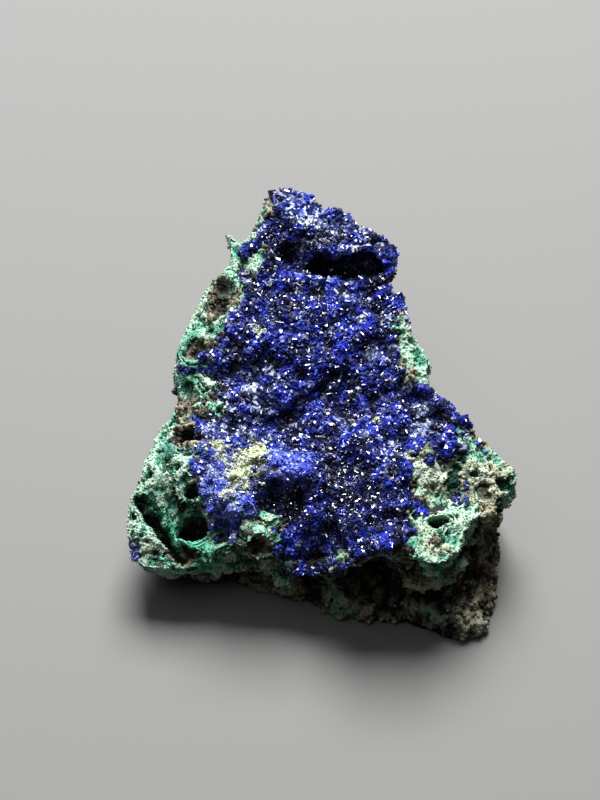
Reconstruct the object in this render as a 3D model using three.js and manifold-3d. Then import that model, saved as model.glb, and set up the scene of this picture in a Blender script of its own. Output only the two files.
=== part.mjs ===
// Azurite druse on malachite-crusted rock, a hand specimen lying on its broken back.
// Millimetres, +Z up. The origin is on the resting surface, under the middle of the specimen.
// Every stone surface is one box, bent so that its top becomes the crystal face, its sides the
// broken walls and its bottom the flat break that the specimen lies on.

import * as THREE from 'three';
import { mergeVertices } from 'three/addons/utils/BufferGeometryUtils.js';
import { ImprovedNoise } from 'three/addons/math/ImprovedNoise.js';
import Module from 'manifold-3d';

const wasm = await Module();
wasm.setup();

// Driving dimensions

const HUB = new THREE.Vector2(0, -2); // every outline is a radius about this point
const FACE_HEIGHT = 12.6; // crystal face above the resting surface, at y = 0
const FACE_SLOPE = 0.2; // rise of the crystal face for each millimetre of y
const EDGE_BLEND_START = 0.66; // share of the radius where the face starts to follow the rim
const CRUST_RISE = 1.7; // crust surface above the rock under it
const CRUST_REACH = 1.3; // crust surface outside the rock wall behind it
const BED_SHARE = 0.25; // share of the crust's depth left clear between the rock and the crust
const SIDE_GAP = 0.35; // clearance between crusts that lie side by side
const WALL_TUCK_START = 0.3; // share of the wall height that stays under the rim
const ROCK_GRID = { across: 22, down: 8 };
const CRUST_GRID = { across: 32, down: 8 };
const FLATNESS = 0.05; // facets closer to one plane than this are merged
const OUTLINE_STEPS = 1440;
const CRUST_CEILING = 30; // top of the prisms that cut the crusts out

const COARSE_NOISE = { size: 5.2, height: 0.6 };
const FINE_NOISE = { size: 2.3, height: 0.3 };
const OUTWARD_POWER = 8; // how sharply the roughness turns from upward to outward at the rim

// Broken edge of the crystal face, as x, y and height, anticlockwise from the right shoulder

const RIM = [
  [12.7, -1.1, 12.5], [10.9, 1.1, 12.5], [11.0, 3.2, 13], [9.8, 5.6, 13.5], [8.8, 7.3, 14.5],
  [7.9, 9.5, 14], [7.1, 11.6, 13.5], [7.8, 14.0, 16], [6.5, 16.1, 17], [4.1, 16.3, 17.5],
  [2.4, 17.9, 17.5], [0.0, 19.1, 17], [-1.2, 20.9, 17.5], [-3.3, 21.6, 17.5], [-5.5, 21.3, 17],
  [-6.6, 19.3, 15.5], [-7.6, 17.8, 14.2], [-8.8, 16.4, 13.4], [-10.0, 14.8, 12.7],
  [-11.8, 12.6, 12], [-13.4, 9.4, 11.5], [-14.4, 6.7, 11], [-14.9, 3.4, 10.5], [-14.8, 0.7, 10],
  [-16.2, -2.9, 9.5], [-17.3, -6.5, 9], [-17.8, -8.0, 9], [-18.9, -10.2, 8.5], [-19.4, -11.8, 8],
  [-19.0, -14.6, 7], [-18.1, -16.4, 6], [-15.4, -16.8, 6], [-12.0, -16.5, 6.5],
  [-10.4, -15.9, 8.5], [-4.9, -16.0, 9], [-3.0, -17.5, 6.5], [0.7, -18.2, 7.5],
  [4.0, -18.4, 11], [7.4, -17.3, 11.5], [9.0, -18.0, 10.5], [10.6, -18.6, 10],
  [12.6, -17.6, 10], [14.5, -14.2, 10.5], [17.9, -11.2, 9.5], [19.3, -9.4, 10],
  [18.9, -7.8, 10.5], [15.7, -4.9, 11.5],
];

// Edge of the flat break on the resting surface, as x, y and height

const FOOT = [
  [17.8, -11, 0], [16.5, -6, 0], [13, -1.5, 0], [10, 4, 0], [7.5, 9, 0], [6, 13, 0], [2, 16.5, 0],
  [-3, 18, 0], [-7, 15, 0], [-9.5, 10.5, 0], [-12, 4.5, 0], [-13.5, -2, 0], [-15, -7, 0],
  [-14.5, -10.5, 0], [-12.5, -13.4, 0], [-9.7, -15.1, 0], [-6, -16.3, 0], [-2.2, -17.4, 0],
  [2.3, -19.4, 0], [9.2, -20.3, 0], [12.6, -22.0, 0], [15.6, -21.4, 0], [17.4, -17.2, 0],
];

// Mounds and hollows of the crystal face: centre, spread along x and y, and height

const FACE_RELIEF = [
  { x: -3.2, y: 18.8, dx: 2.0, dy: 2.0, h: 1.6 }, // top knob
  { x: 1.4, y: 16.6, dx: 3.2, dy: 1.6, h: 1.6 }, // brow over the slot
  { x: 5.4, y: 14.8, dx: 2.2, dy: 1.4, h: 1.6 },
  { x: 3.0, y: 12.2, dx: 3.6, dy: 1.3, h: -1.3 },
  { x: -3.0, y: 14.4, dx: 1.2, dy: 1.2, h: -1.2 },
  { x: 0.5, y: 5.5, dx: 5.0, dy: 4.0, h: 0.8 }, // swell of the main field
  { x: -9.0, y: 1.8, dx: 2.0, dy: 1.3, h: -1.5 },
  { x: -4.6, y: -3.4, dx: 2.6, dy: 1.3, h: -1.7 },
  { x: 1.2, y: -1.0, dx: 2.6, dy: 1.1, h: -0.9 },
  { x: 10.6, y: -2.6, dx: 2.4, dy: 1.2, h: -0.9 },
  { x: -3.2, y: -8.8, dx: 2.4, dy: 1.8, h: 1.2 }, // powdery mound
  { x: -4.3, y: -11.9, dx: 1.8, dy: 1.2, h: -2.0 },
  { x: 3.0, y: -11.6, dx: 4.4, dy: 4.4, h: 2.0 }, // lower lobe
  { x: -8.4, y: -9.4, dx: 2.8, dy: 2.2, h: 1.2 }, // left lobes
  { x: -8.2, y: -13.4, dx: 2.4, dy: 1.6, h: 1.3 },
  { x: -13.2, y: -12.6, dx: 1.9, dy: 1.4, h: -2.6 }, // dark hollow of the lower left ledge
  { x: -17.2, y: -11.4, dx: 1.5, dy: 1.2, h: -1.6 }, // trench across the ledge, in two steps
  { x: -14.4, y: -14.6, dx: 1.6, dy: 1.2, h: -1.6 },
  { x: -13.2, y: -3.9, dx: 1.5, dy: 1.1, h: -1.3 },
  { x: -11.6, y: 7.4, dx: 1.4, dy: 2.0, h: -1.1 },
  { x: 12.6, y: -10.8, dx: 1.4, dy: 1.8, h: -1.3 },
  { x: 16.3, y: -9.6, dx: 2.4, dy: 2.0, h: 1.3 }, // grainy right shelf
  { x: 10.4, y: -16.0, dx: 2.0, dy: 1.6, h: 1.1 }, // pale bulge
];

// Hollows under an overhang, as ellipsoids: centre, half sizes and lean about x in degrees

const SLOT = { at: [2.9, 13.7, 14.6], half: [3.8, 2.3, 1.2], lean: 24 };
const CAVE = { at: [4.9, -19.0, 5.0], half: [3.3, 4.6, 3.1], lean: 10 };

// Plan outlines of the crusts. Where one runs outside the rim, the crust wraps over the edge
// and down the wall to its skirt, which slopes as the face does.

const AZURITE = {
  skirt: 9.8,
  outline: [
    [-7.8, 24.5], [4, 24], [12, 18], [9.8, 12.8], [9.9, 7.4], [7.7, 6.3], [7.3, 4.3], [7.9, 2.2],
    [9.8, 0.4], [14, 1.2], [18.2, -4.4], [15.6, -5.8], [13.2, -5.6], [12.1, -7.8], [10.8, -9.6],
    [9.6, -8.6], [8.8, -11], [8.7, -14.6], [8.4, -19.0], [4, -22], [-3.9, -21], [-4.5, -16.4],
    [-3.7, -14.9], [-4.8, -13.2], [-6.9, -15], [-9, -15.4], [-10.8, -14.2], [-11.5, -11],
    [-13.1, -8.6], [-12.1, -5.8], [-13.6, -2.2], [-12, -0.6], [-10.2, 0.6], [-12.4, 3.3],
    [-10, 7], [-8.5, 9], [-8.7, 12], [-9, 14.5], [-6.9, 16.8],
  ],
};

const MALACHITE_LEFT = {
  skirt: 6.8,
  outline: [
    [-6.2, 16.5], [-8.2, 21], [-12.5, 20], [-12.6, 15.2], [-17, 9], [-18, 1], [-20, -5],
    [-22.5, -9], [-22.5, -18], [-18, -21], [-10, -20], [-3.0, -18.8], [-3.2, -14.5], [-7, -10],
    [-9, -2], [-7, 8],
  ],
};

const MALACHITE_BAND = {
  skirt: 8.6,
  outline: [[12.6, 8.0], [13.6, 1.6], [9.8, -0.4], [6.4, 1.0], [6.2, 7.2], [9.0, 9.0]],
};

const MALACHITE_RIGHT = {
  skirt: 9.0,
  outline: [
    [13.6, -4.6], [18.4, -3.2], [22, -6], [22, -12.6], [16.6, -18], [12.6, -21.4], [9.2, -21.2],
    [8.0, -17.4], [8.2, -9], [11.5, -4.9],
  ],
};

// Solids and meshes

function solidFrom(geometry) {
  const bare = geometry.clone();
  bare.deleteAttribute('normal');
  bare.deleteAttribute('uv');
  const merged = mergeVertices(bare, 1e-4);
  return new wasm.Manifold(new wasm.Mesh({
    numProp: 3,
    vertProperties: new Float32Array(merged.attributes.position.array),
    triVerts: new Uint32Array(merged.index.array),
  }));
}

function largestPiece(solid) {
  return solid.decompose().reduce((best, next) => (next.volume() > best.volume() ? next : best));
}

function meshFrom(name, solid, material) {
  const { vertProperties, triVerts } = largestPiece(solid).asOriginal().simplify(FLATNESS).getMesh();
  const geometry = new THREE.BufferGeometry();
  geometry.setAttribute('position', new THREE.BufferAttribute(vertProperties, 3));
  geometry.setIndex(new THREE.BufferAttribute(triVerts, 1));
  geometry.computeVertexNormals();
  const mesh = new THREE.Mesh(geometry, material);
  mesh.name = name;
  return mesh;
}

// Outlines as radius and height by direction about the hub

function outlineByAngle(points) {
  const curve = new THREE.CatmullRomCurve3(
    points.map(([x, y, z]) => new THREE.Vector3(x, y, z)),
    true,
    'centripetal',
  );
  const samples = curve.getPoints(OUTLINE_STEPS).map((p) => ({
    angle: Math.atan2(p.y - HUB.y, p.x - HUB.x),
    radius: Math.hypot(p.x - HUB.x, p.y - HUB.y),
    height: p.z,
  }));
  samples.sort((a, b) => a.angle - b.angle);
  return (angle) => {
    const next = samples.findIndex((s) => s.angle >= angle);
    const b = samples[Math.max(next, 0)];
    const a = samples[(Math.max(next, 0) + samples.length - 1) % samples.length];
    return { radius: (a.radius + b.radius) / 2, height: (a.height + b.height) / 2 };
  };
}

const rimAt = outlineByAngle(RIM);
const footAt = outlineByAngle(FOOT);

// Surface relief

const noise = new ImprovedNoise();

function roughness(p, { size, height }) {
  return height * noise.noise(p.x / size + 3.1, p.y / size + 7.7, p.z / size + 1.3);
}

function faceRelief(x, y) {
  return FACE_RELIEF.reduce((sum, m) => {
    const far = ((x - m.x) / m.dx) ** 2 + ((y - m.y) / m.dy) ** 2;
    return sum + m.h * Math.exp(-far / 2);
  }, 0);
}

// Squares about the middle become circles, so the grid's rings run along the rim

function squareToDisc(a, b) {
  if (a === 0 && b === 0) return new THREE.Vector2(0, 0);
  const sideways = Math.abs(a) >= Math.abs(b);
  const radius = sideways ? a : b;
  const turn = sideways ? (Math.PI / 4) * (b / a) : Math.PI / 2 - (Math.PI / 4) * (a / b);
  return new THREE.Vector2(radius * Math.cos(turn), radius * Math.sin(turn));
}

function facePoint(disc, crust) {
  const share = Math.min(disc.length(), 1);
  const rim = rimAt(Math.atan2(disc.y, disc.x));
  const reach = rim.radius - CRUST_REACH * (1 - crust);
  const x = HUB.x + reach * disc.x;
  const y = HUB.y + reach * disc.y;
  const follow = THREE.MathUtils.smoothstep(share, EDGE_BLEND_START, 1);
  const inner = FACE_HEIGHT + FACE_SLOPE * y + faceRelief(x, y);
  const height = THREE.MathUtils.lerp(inner, rim.height, follow);
  return new THREE.Vector3(x, y, height - CRUST_RISE * (1 - crust));
}

function wallPoint(disc, down, crust) {
  const edge = facePoint(disc, crust);
  const angle = Math.atan2(disc.y, disc.x);
  const topRadius = rimAt(angle).radius - CRUST_REACH * (1 - crust);
  const lowRadius = footAt(angle).radius + CRUST_REACH * crust;
  const inward = THREE.MathUtils.smoothstep(down, WALL_TUCK_START, 1);
  const radius = THREE.MathUtils.lerp(topRadius, lowRadius, inward);
  return new THREE.Vector3(HUB.x + radius * disc.x, HUB.y + radius * disc.y, edge.z * (1 - down));
}

function footPoint(disc, crust) {
  const radius = footAt(Math.atan2(disc.y, disc.x)).radius + CRUST_REACH * crust;
  return new THREE.Vector3(HUB.x + radius * disc.x, HUB.y + radius * disc.y, 0);
}

// The same bump moves rock and crust together: out of the walls, up from the face

function roughen(point, anchor, disc, down) {
  const bump = roughness(anchor, COARSE_NOISE) + roughness(anchor, FINE_NOISE);
  const outward = Math.min(disc.length(), 1) ** OUTWARD_POWER;
  const fade = 1 - down ** 4;
  point.x += bump * outward * fade * disc.x;
  point.y += bump * outward * fade * disc.y;
  point.z += bump * (1 - outward) * fade;
}

function stonePoint(disc, down, crust) {
  if (down === 0) return facePoint(disc, crust);
  if (down === 1) return footPoint(disc, crust);
  return wallPoint(disc, down, crust);
}

// crust is 0 for the bare rock and 1 for the skin over its crusts

function stoneSurface(grid, crust) {
  const box = new THREE.BoxGeometry(2, 2, 2, grid.across, grid.across, grid.down);
  const position = box.attributes.position;
  const corner = new THREE.Vector3();
  for (let i = 0; i < position.count; i += 1) {
    corner.fromBufferAttribute(position, i);
    const disc = squareToDisc(corner.x, corner.y);
    const down = (1 - corner.z) / 2;
    const point = stonePoint(disc, down, crust);
    roughen(point, stonePoint(disc, down, 0), disc, down);
    position.setXYZ(i, point.x, point.y, point.z);
  }
  return solidFrom(box);
}

// Prisms that cut the crusts out, with a floor that slopes as the face does

function crustPrism({ outline, skirt }) {
  const shape = new THREE.Shape(outline.map(([x, y]) => new THREE.Vector2(x, y)));
  const depth = CRUST_CEILING - skirt;
  const geometry = new THREE.ExtrudeGeometry(shape, { depth, bevelEnabled: false });
  geometry.applyMatrix4(new THREE.Matrix4().set(
    1, 0, 0, 0,
    0, 1, 0, 0,
    0, FACE_SLOPE, 1, skirt,
    0, 0, 0, 1,
  ));
  return solidFrom(geometry);
}

// A prism grown sideways, for the clearance around it

function widened(prism, gap) {
  const shifts = [[gap, 0, 0], [-gap, 0, 0], [0, gap, 0], [0, -gap, 0]];
  return shifts.reduce((sum, shift) => sum.add(prism.translate(shift)), prism);
}

function hollow({ at, half, lean }) {
  const geometry = new THREE.SphereGeometry(1, 20, 12);
  geometry.scale(...half);
  geometry.rotateX(THREE.MathUtils.degToRad(lean));
  geometry.translate(...at);
  return solidFrom(geometry);
}

// The specimen

const hollows = hollow(SLOT).add(hollow(CAVE));
const rock = stoneSurface(ROCK_GRID, 0).subtract(hollows);
const bed = stoneSurface(ROCK_GRID, BED_SHARE);
const skin = stoneSurface(CRUST_GRID, 1).subtract(bed).subtract(hollows);
const azuritePrism = crustPrism(AZURITE);
const besideAzurite = skin.subtract(widened(azuritePrism, SIDE_GAP));

const stone = (color, roughnessValue) => new THREE.MeshStandardMaterial({
  color,
  roughness: roughnessValue,
  metalness: 0,
});
const matrixStone = stone(0x6b5b45, 0.9);
const malachiteStone = stone(0x6fb496, 0.75);
const azuriteStone = stone(0x1a1fa0, 0.3);

const specimen = new THREE.Group();
specimen.add(
  meshFrom('matrix_rock', rock, matrixStone),
  meshFrom('azurite_druse', skin.intersect(azuritePrism), azuriteStone),
  meshFrom('malachite_crust_left', besideAzurite.intersect(crustPrism(MALACHITE_LEFT)), malachiteStone),
  meshFrom('malachite_band_right', besideAzurite.intersect(crustPrism(MALACHITE_BAND)), malachiteStone),
  meshFrom('malachite_crust_right', besideAzurite.intersect(crustPrism(MALACHITE_RIGHT)), malachiteStone),
);

export default specimen;
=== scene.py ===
"""The looks of an azurite specimen: blue crystals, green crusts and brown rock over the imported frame.

Shapes are worked out in millimetres, and become metres when a piece is made.
"""

import math

import bmesh
import bpy
import numpy as np
from mathutils import Matrix, Vector, noise
from mathutils.bvhtree import BVHTree


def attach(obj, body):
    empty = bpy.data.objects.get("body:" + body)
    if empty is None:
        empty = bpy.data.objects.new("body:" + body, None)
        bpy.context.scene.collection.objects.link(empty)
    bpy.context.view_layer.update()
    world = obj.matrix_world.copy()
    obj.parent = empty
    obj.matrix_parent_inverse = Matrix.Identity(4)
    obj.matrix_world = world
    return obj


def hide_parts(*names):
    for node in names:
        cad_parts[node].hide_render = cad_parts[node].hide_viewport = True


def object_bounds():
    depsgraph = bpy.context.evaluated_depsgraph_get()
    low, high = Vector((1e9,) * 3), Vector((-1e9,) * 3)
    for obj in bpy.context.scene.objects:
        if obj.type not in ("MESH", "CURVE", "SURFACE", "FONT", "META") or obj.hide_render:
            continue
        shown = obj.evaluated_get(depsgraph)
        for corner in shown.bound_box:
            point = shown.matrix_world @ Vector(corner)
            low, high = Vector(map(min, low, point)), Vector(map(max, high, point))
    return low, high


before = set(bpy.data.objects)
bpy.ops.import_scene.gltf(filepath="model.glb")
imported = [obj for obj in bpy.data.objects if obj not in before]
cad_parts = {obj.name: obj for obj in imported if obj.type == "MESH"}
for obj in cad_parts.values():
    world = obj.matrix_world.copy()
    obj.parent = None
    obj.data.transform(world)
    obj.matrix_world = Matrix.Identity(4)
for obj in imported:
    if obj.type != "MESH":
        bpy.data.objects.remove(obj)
cad_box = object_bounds()

MM = 0.001

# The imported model's nodes.
ROCK = "matrix_rock"
DRUSE = "azurite_druse"
GREEN_LEFT = "malachite_crust_left"
GREEN_BAND = "malachite_band_right"
GREEN_RIGHT = "malachite_crust_right"
GREENS = (GREEN_LEFT, GREEN_BAND, GREEN_RIGHT)
NODES = (ROCK, DRUSE, *GREENS)

# The stone as one lump, before its crusts are told apart: how far it is swollen, and how fine it is.
SWELL = 0.28
DOUBLES = 1e-7
DRAFT_VOXEL = 0.3
DRAFT_SMOOTHING = 14
CRUST_VOXEL = 0.145
BED_VOXEL = 0.21
ROCK_VOXEL = 0.24
FINAL_SMOOTHING = 3

# A height above the whole stone, and the room under the box's top in which relief is pressed down.
SKY = 40.0
PEAK_ROOM = 0.9
PEAK_SOFTENING = 0.5

# Balls added before the lump is closed: x, y, z, half sizes, turn about the upright in degrees.
KNOBS = (
    ("top knob", -3.4, 19.8, 15.65, 2.8, 2.3, 2.0, 0),
    ("brow", 1.7, 16.8, 15.3, 2.6, 1.9, 2.1, -15),
    ("brow, right lobe", 5.3, 14.8, 15.0, 2.0, 2.0, 2.2, -25),
    ("horn", -9.3, 17.6, 12.6, 0.75, 1.5, 0.8, 30),
    ("horn root", -8.5, 15.8, 12.6, 1.3, 1.9, 1.0, 15),
    ("emerald knob", -11.6, -15.6, 7.0, 1.0, 0.8, 1.0, 0),
    ("emerald bar", -13.3, -14.6, 7.2, 1.6, 0.6, 0.9, -38),
    ("right mound", 15.6, -9.4, 9.2, 2.4, 1.8, 1.3, 0),
    ("pale bulge", 10.6, -16.0, 7.4, 2.2, 1.6, 1.7, 0),
    ("bright mound", -3.6, -8.9, 11.0, 2.2, 1.6, 1.1, 20),
)

# Cups cut into the lump: x, y, half width, half length, depth, turn about the upright in degrees.
CUPS = (
    ("left rim, top", -9.9, 12.2, 0.9, 1.2, 1.6, 10),
    ("left rim, upper", -10.3, 9.9, 1.1, 1.5, 2.0, -12),
    ("left rim, middle", -12.7, 5.4, 1.3, 1.4, 2.1, 0),
    ("left rim, low", -13.6, 1.0, 0.7, 1.0, 1.4, 0),
    ("brown hollow", -13.5, -4.1, 1.9, 0.9, 1.6, -15),
    ("round hole", -12.8, -10.4, 0.85, 0.8, 2.6, 0),
    ("small hole", -15.5, -7.0, 0.55, 0.4, 1.2, 0),
    ("small hole below", -14.3, -7.9, 0.6, 0.4, 1.2, 0),
    ("black hollow", -12.8, -13.2, 1.75, 1.25, 3.4, 15),
    ("trench head", -17.7, -10.9, 0.6, 1.3, 1.8, 45),
    ("trench", -16.7, -12.2, 0.65, 1.8, 2.8, 42),
    ("trench tail", -15.4, -13.9, 0.65, 1.8, 2.8, 40),
    ("trench foot", -14.1, -15.6, 0.6, 1.4, 2.4, 38),
    ("pit under the brow", -3.0, 14.4, 1.2, 0.9, 1.8, 15),
    ("notch beside the knob", 0.1, 19.0, 0.9, 1.1, 1.2, 0),
    ("notch in the brow", 4.0, 15.9, 0.6, 1.0, 0.9, 0),
    ("field hollow", -9.0, 2.4, 1.3, 0.7, 0.9, 35),
    ("field hollow, middle", -1.9, 1.0, 1.5, 0.7, 1.0, -15),
    ("field hollow, left", -6.8, -1.2, 1.2, 0.7, 0.9, 25),
    ("field hollow, low", -3.0, -4.3, 1.2, 0.5, 0.8, -30),
    ("field hollow, right", 8.9, -1.2, 1.5, 0.7, 1.0, 20),
    ("furrow", -5.0, -6.4, 1.7, 0.4, 0.8, 10),
    ("lobe hollow", -4.7, -11.4, 1.1, 2.1, 1.15, -15),
    ("dark band", 11.4, -4.3, 1.5, 0.5, 1.0, -20),
    ("right hollow", 12.9, -10.4, 0.7, 1.0, 1.1, 10),
    ("right hole", 11.2, -13.9, 1.1, 0.6, 2.2, 15),
    ("right pit below", 16.0, -11.0, 0.5, 0.4, 0.7, 0),
)

# Half the height of the ball that cuts a cup, as a share of the cup's depth.
CUP_TALLNESS = 1.15

# Balls cut under an overhang: x, y, z, half sizes, turn about the upright and lean about x in degrees.
OVERHANGS = (
    ("slot, left end", 0.2, 13.5, 14.0, 1.9, 1.4, 2.5, 0, 32),
    ("slot, middle", 2.6, 13.2, 14.4, 2.1, 1.6, 2.6, 0, 32),
    ("slot, right end", 4.9, 13.2, 14.8, 1.8, 1.4, 2.5, 0, 32),
    ("green cavity", -6.2, -15.8, 8.6, 1.2, 1.0, 1.2, 0, 0),
    ("green cavity, left", -9.3, -16.6, 6.9, 0.9, 0.7, 0.8, 0, 0),
    ("green cavity, right", -4.0, -17.6, 5.6, 0.8, 0.7, 0.9, 0, 0),
    ("cave, high side", 5.9, -18.6, 7.9, 2.1, 2.5, 2.7, 0, 0),
    ("cave, middle", 3.3, -19.2, 6.8, 2.4, 2.5, 2.6, 0, 0),
    ("cave, low side", 1.0, -19.2, 5.4, 1.8, 1.9, 1.7, 0, 0),
)

# The unevenness of everything that cuts: its share of the cutter's width, and how far apart its bumps are.
RAGGED_SHARE = 0.42
RAGGED_SIZE = 1.1
RAGGED_SEED = 7

# Chips broken from the foot of the front wall, cut as the balls above.
CHIPS = (
    (-9.4, -15.9, 0.0, 1.0, 0.7, 1.6), (-6.4, -17.1, 0.2, 1.3, 0.8, 1.2), (-2.6, -18.3, 0.0, 1.1, 0.8, 1.8),
    (0.9, -20.0, 0.1, 0.9, 0.8, 1.3), (6.2, -21.0, 0.0, 1.4, 0.7, 1.5), (10.4, -22.0, 0.3, 0.9, 0.8, 1.3),
    (13.7, -23.1, 0.0, 1.0, 0.9, 1.9), (17.4, -21.0, 0.1, 0.9, 1.2, 2.2),
)

# Round patches of one growth inside another: x, y, radius.
BLUE_SPOTS = (
    (10.9, -6.1, 1.3), (9.9, -12.4, 0.8), (13.0, -10.4, 0.8), (-18.5, -14.8, 0.8), (-14.1, 3.0, 0.5),
    (-12.9, -1.7, 0.7), (14.2, -3.6, 0.8), (3.4, 14.8, 4.4),
)
GREEN_SPOTS = (
    (7.8, 6.4, 0.9), (8.8, 4.9, 1.1), (9.8, 3.4, 1.2), (10.5, 2.1, 1.0), (-4.9, -13.5, 1.0),
    (-6.6, -15.4, 1.8), (13.4, -6.7, 0.9), (14.4, -5.4, 1.7), (16.2, -6.0, 1.5), (17.4, -6.2, 1.3),
    (16.0, -4.9, 1.0), (-7.2, 19.2, 1.2), (-7.0, 14.0, 1.3), (-10.9, -1.8, 0.9), (-9.0, -12.5, 0.5),
    (10.4, -9.4, 1.7), (10.2, -7.6, 1.0),
)
BARE_SPOTS = (
    (-13.6, -4.1, 1.15), (-13.5, -0.3, 0.6), (-10.3, 10.0, 1.1), (-12.8, 5.4, 1.1),
    (16.9, -12.4, 1.3), (8.2, -17.8, 1.3),
)

# Where growths end: the height where round patches give out, the y below which hollows are bare rock, the
# right crust's foot, and how much nearer than a crust the rock may be without showing.
SPOT_FLOOR = 5.5
CAVE_FRONT = -15.0
RIGHT_CRUST_FOOT = 7.2
BLUE_OVER_ROCK = 0.8
GREEN_OVER_ROCK = 0.35

# Crusts: how far they reach past their outline and sink there, the fewest quads in a loose stretch, their
# lowest height, their thickness, and the shares of the stone's thickness that it and the pits may take.
EDGE_REACH = 0.55
EDGE_SINK = 1.2
LEAST_STRETCH = 60
CRUST_LOWEST = 0.05
CRUST_THICKNESS = 0.5
CRUST_SHARE = 0.15
CRUST_PIT_SHARE = 0.3
THICKEST = 4.0
STEP_IN = 0.05

# Rock: how far it sinks below a crust, its pits' share of the thickness, its flat back and its low foot.
ROCK_BELOW_CRUST = 1.6
ROCK_PIT_SHARE = 0.42
FLAT_BACK = 0.15
ROCK_FOOT = (0.1, 1.0)

# Azurite crystals: the usual height in each grade, and the places where they run larger or smaller.
GRADES = (("fine", 0.2), ("small", 0.28), ("middling", 0.38), ("large", 0.6))
FIELD_SIZE = 0.39
SIZE_PATCHES = (
    ("knob", -3.4, 20.3, 3.0, 0.5), ("brow", 3.0, 16.5, 4.5, 0.1), ("lobe", 2.0, -13.0, 4.5, -0.25),
    ("left lobe", -8.5, -10.5, 4.5, -0.4), ("mound", -3.8, -8.8, 2.6, -0.25),
    ("right edge", 10.5, -2.5, 3.0, -0.15),
)

# Patches of a look, from here to the blue flecks: x, y, radius, amount.
# First where the azurite is frosted pale and has painted sheen; the white cluster and white spots are
# painted glints.
FROST_SHEEN = (
    ("brow", 3.0, 16.2, 4.2, 0.35), ("knob", -3.4, 19.8, 2.6, 0.45), ("left band", -9.0, -2.2, 3.4, 0.35),
    ("left lobe", -9.4, -8.5, 3.4, 0.5), ("below the slot", 2.0, 10.0, 3.5, 0.1),
    ("lobe", 2.5, -13.0, 4.5, -0.35), ("white cluster", -1.2, 16.9, 0.9, 1.6),
    ("white spot", -5.4, 15.4, 0.5, 0.9), ("white spot, right", 2.4, 17.8, 0.6, 0.7),
)

# Where it is powdery.
POWDERY = (
    ("mound", -3.8, -8.8, 2.1, 0.95), ("left lobe", -8.8, -9.8, 3.8, 0.5), ("bulge", -8.3, -13.0, 2.0, 0.3),
    ("lobe hollow", -4.6, -11.6, 1.7, -0.9),
)

# Where it is painted darker as shade: in hollows, under the slot, at the knob's foot, on the low field and
# over the lobe.
SHADY = (
    ("lobe", 2.0, -13.2, 4.6, 0.4), ("lobe hollow", -4.6, -11.4, 1.9, 1.2),
    ("low field", -3.0, -5.0, 2.5, 0.3), ("under the slot", 5.0, 11.5, 2.0, 0.2),
    ("knob's foot", -4.5, 15.0, 2.2, 0.25),
)

# Where single crystals of it have turned pale cream.
CREAMY = (
    ("left lobe", -7.7, -8.9, 2.3, 0.75), ("left lobe, upper", -6.6, -6.4, 1.6, 0.65),
    ("far left", -10.7, -5.9, 0.9, 0.7), ("left lobe, low", -9.3, -11.4, 1.4, 0.35),
    ("speck", -6.2, 5.6, 0.7, 0.8), ("speck, right", 4.0, -4.7, 0.8, 0.5),
    ("speck, far right", 5.7, -3.1, 0.6, 0.5), ("right border", 8.6, -7.2, 1.2, 0.4),
)

# Where the green crusts are chalky, vivid green and full of pits.
CHALKY = (
    ("streaks", 10.4, -9.2, 2.2, 0.65), ("right shelf", 15.4, -9.2, 3.0, 0.55),
    ("left wall", -14.6, -6.8, 2.2, 0.6), ("upper mint", -12.5, 6.9, 1.0, 0.2),
    ("middle mint", -13.2, 2.1, 1.0, 0.4),
)
VIVID = (
    ("emerald knob", -11.6, -15.6, 1.4, 1.0), ("emerald bar", -13.2, -14.9, 1.5, 1.0),
    ("bar end", -14.7, -13.3, 1.0, 0.9), ("right top", 15.6, -5.8, 1.4, 0.45),
    ("ledge", 9.0, -18.9, 1.2, 0.7), ("horn", -8.9, 16.8, 1.2, 0.3),
)
POROUS = (
    ("upper mint", -11.5, 8.0, 4.0, 0.3), ("left wall", -15.0, -7.0, 2.0, 0.15),
    ("right shelf", 16.0, -9.6, 3.0, 0.3),
)

# Where they turn cream, brown and rusty, and where the bare rock is rusty.
CREAM_GREEN = (
    ("right shelf", 16.0, -9.2, 3.6, 0.8), ("streaks", 10.5, -9.0, 2.6, 0.7),
    ("right ledge", 10.8, -16.2, 2.8, 0.6), ("left ledge", -8.5, -16.4, 2.2, 0.45),
    ("upper mint", -12.3, 8.5, 1.8, 0.3), ("horn", -7.6, 18.6, 1.6, 0.8),
    ("far left", -17.0, -14.8, 2.0, 0.4),
)
EARTHY = (
    ("middle mint", -13.6, -0.2, 1.4, 0.8), ("left rim", -10.1, 10.6, 2.0, 0.7),
    ("front wall", -6.5, -17.4, 3.0, 0.6), ("left rim, top", -11.0, 13.0, 1.6, 0.5),
    ("right shelf", 15.8, -10.0, 3.0, 0.3), ("upper mint", -12.3, 8.5, 1.7, 0.3),
    ("right ledge", 10.8, -16.4, 2.4, 0.4), ("brown hollow", -13.4, -4.4, 1.6, 0.6),
    ("shelf's foot", 16.8, -11.4, 1.6, 0.35),
)
RUSTY = (("right tip", 19.2, -7.4, 0.8, 0.8), ("brown hollow", -14.2, -4.2, 0.7, 0.45))
RUSTY_ROCK = (
    ("right tip", 19.2, -7.4, 0.8, 0.7), ("shelf's foot", 16.3, -12.6, 0.5, 0.6),
    ("brown hollow", -14.2, -4.4, 0.7, 0.5),
)

# Where blue flecks lie in the green.
FLECKED = (("left lobe's edge", -11.8, -3.2, 1.6, 0.5), ("middle mint", -13.9, 2.6, 1.0, 0.4))

# Where the green front wall begins, going forward and going right.
WALL_FORWARD = (14.5, 16.5)
WALL_RIGHTWARD = (-13.0, -11.0)

# Crystals: the foot and the top's slope on a blade one unit tall, the lean, the lowest they grow, the y that
# parts the upper half from the lower, the least cover worth planting, and how their sizes vary.
CRYSTAL_FOOT = 0.35
WEDGE_SLOPE = 0.3
CRYSTAL_LEAN = 0.75
LEAST_HEIGHT = 1.0
HALF_LINE = 3.0
LEAST_COVER = 20
CRYSTAL_SPREAD = (0.8, 1.5)

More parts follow.
